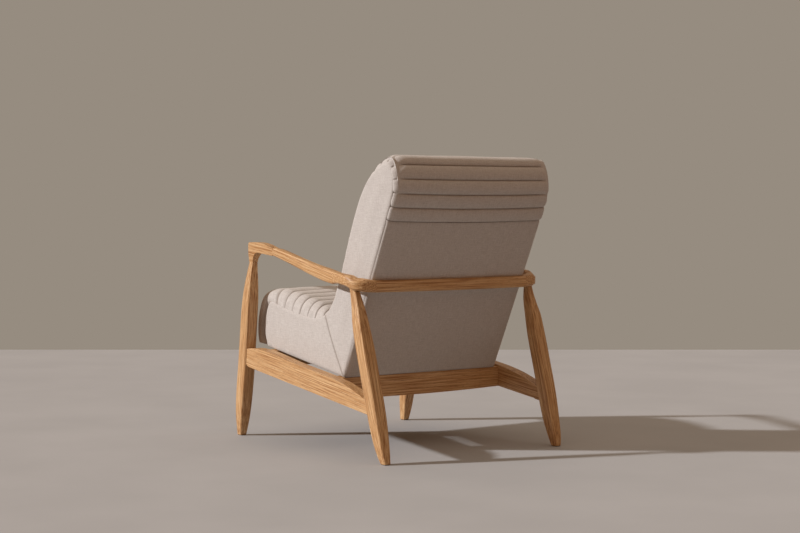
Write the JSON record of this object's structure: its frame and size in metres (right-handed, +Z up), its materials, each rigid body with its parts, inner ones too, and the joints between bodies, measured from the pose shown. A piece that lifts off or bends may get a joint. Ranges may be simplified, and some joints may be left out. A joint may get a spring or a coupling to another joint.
{
  "type": "lounge armchair",
  "caption": "Low oak lounge armchair with splayed tapered legs, arms that curve round the back as one line, and a padded shell with sewn cross channels.",
  "frame": {"origin": "on the floor, under the middle of the chair's bounding box", "axes": "+Z up, the chair faces -Y, the sitter's left is +X, and the plane X = 0 halves the chair"},
  "size_m": [0.668, 0.7707, 0.8387],
  "materials": {
    "oak": "oiled oak, satin, straight grain along each piece",
    "beech_dowel": "plain turned beech",
    "plywood": "plain birch plywood, hidden",
    "pine_board": "planed pine, hidden",
    "hardboard": "hardboard, hidden",
    "upholstery_fabric": "woven wool and linen look, warm grey beige, matte",
    "foam": "polyurethane foam, hidden",
    "felt": "pressed felt",
    "black_cloth": "thin non-woven cloth",
    "webbing": "elastic webbing, hidden",
    "spring_steel": "drawn spring wire",
    "zinc_steel": "zinc-plated steel",
    "nylon_clip": "moulded nylon"
  },
  "bodies": {
    "root": {"arm_corner_left": "oak", "arm_corner_right": "oak", "arm_dowels": "beech_dowel", "arm_elbow_left": "oak", "arm_elbow_right": "oak", "arm_left": "oak", "arm_right": "oak", "arm_tongues": "beech_dowel", "back_cover": "upholstery_fabric", "back_foam": "foam", "back_rail": "oak", "back_straps": "webbing", "backing_board": "hardboard", "bolt_washers": "zinc_steel", "cross_rail_dowels": "beech_dowel", "dust_cloth": "black_cloth", "foot_glides": "felt", "front_base_board": "pine_board", "front_cross_rail": "oak", "front_foam": "foam", "front_leg_left": "oak", "front_leg_right": "oak", "front_spring_board": "pine_board", "leg_rail_dowels": "beech_dowel", "lower_back_board": "pine_board", "middle_back_board": "pine_board", "rear_base_board": "pine_board", "rear_cover": "upholstery_fabric", "rear_cross_rail": "oak", "rear_leg_left": "oak", "rear_leg_right": "oak", "rear_spring_board": "pine_board", "seat_cover": "upholstery_fabric", "seat_foam": "foam", "seat_springs": "spring_steel", "shell_bolts": "zinc_steel", "shell_screws": "zinc_steel", "shell_side_left": "plywood", "shell_side_right": "plywood", "side_cover_left": "upholstery_fabric", "side_cover_right": "upholstery_fabric", "side_rail_left": "oak", "side_rail_right": "oak", "spring_clips": "nylon_clip", "spring_felt": "felt", "tee_nuts": "zinc_steel", "top_back_board": "pine_board", "top_foam": "foam"}
  },
  "joints": []
}
